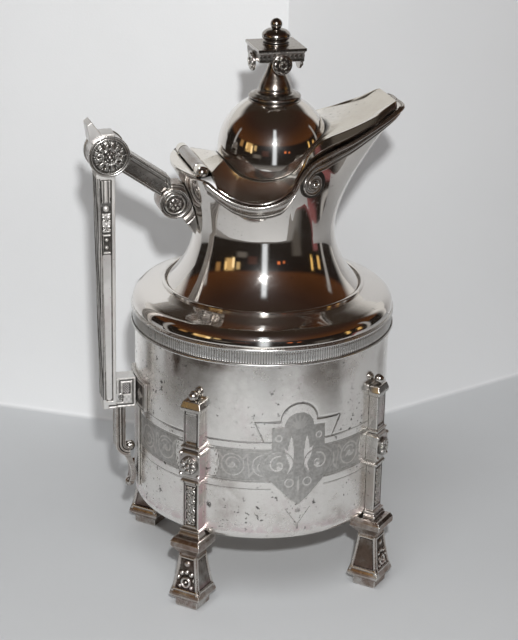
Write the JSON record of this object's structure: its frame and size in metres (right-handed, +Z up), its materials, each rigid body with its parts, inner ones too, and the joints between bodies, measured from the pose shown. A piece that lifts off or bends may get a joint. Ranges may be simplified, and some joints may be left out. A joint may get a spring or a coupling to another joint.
{
  "type": "coffee pot",
  "caption": "Silver-plated coffee pot: straight drum on four cast legs, flared neck with a broad spout, domed hinged lid with a finial, and an angular cast handle.",
  "frame": {"origin": "centre of the bounding box's underside, on the plane that the four feet stand on", "axes": "+Z up, +X towards the spout, -X towards the handle, -Y towards the engraved front"},
  "size_m": [0.1562, 0.131, 0.2831],
  "materials": {
    "polished_silver": "polished silver plate with light tarnish and fine scratches",
    "lid_plate": "worn, pitted silver plate",
    "milled_silver": "reeded silver plate, dark in its grooves",
    "cast_silver": "cast silver plate, antique, with dark recesses",
    "hidden_brass": "plain brass"
  },
  "bodies": {
    "pot": {"drum": "polished_silver", "base_disc": "polished_silver", "milled_band": "milled_silver", "shoulder": "polished_silver", "neck_collar": "polished_silver", "neck": "polished_silver", "rim_moulding_front": "cast_silver", "rim_moulding_back": "cast_silver", "spout_scroll_front": "cast_silver", "spout_scroll_back": "cast_silver", "spout_ornament": "cast_silver", "hinge_ledge": "lid_plate", "hinge_pin": "cast_silver", "handle_root": "cast_silver", "handle_lower_boss": "cast_silver", "handle_arm": "cast_silver", "handle_upper_boss": "cast_silver", "handle_grip": "cast_silver", "handle_bracket": "cast_silver", "handle_tail": "cast_silver", "tail_strip": "cast_silver", "leg_front_left": "cast_silver", "leg_front_right": "cast_silver", "leg_back_right": "cast_silver", "leg_back_left": "cast_silver", "leg_rosettes": "cast_silver", "leg_balls": "cast_silver"},
    "lid": {"lid_knuckle": "lid_plate", "lid_saddle": "lid_plate", "lid_dome": "polished_silver", "dome_collar": "polished_silver", "finial_stem": "polished_silver", "abacus": "cast_silver", "abacus_rosettes": "cast_silver", "finial_bun": "cast_silver", "finial_ball": "cast_silver", "finial_stud": "hidden_brass", "finial_nut": "hidden_brass"}
  },
  "joints": [
    {"name": "lid_hinge", "type": "hinge", "parent": "pot", "child": "lid", "pos_m": [-0.02635, 0, 0.2154], "axis": [0, -1, 0], "range_deg": [0, 85]}
  ]
}
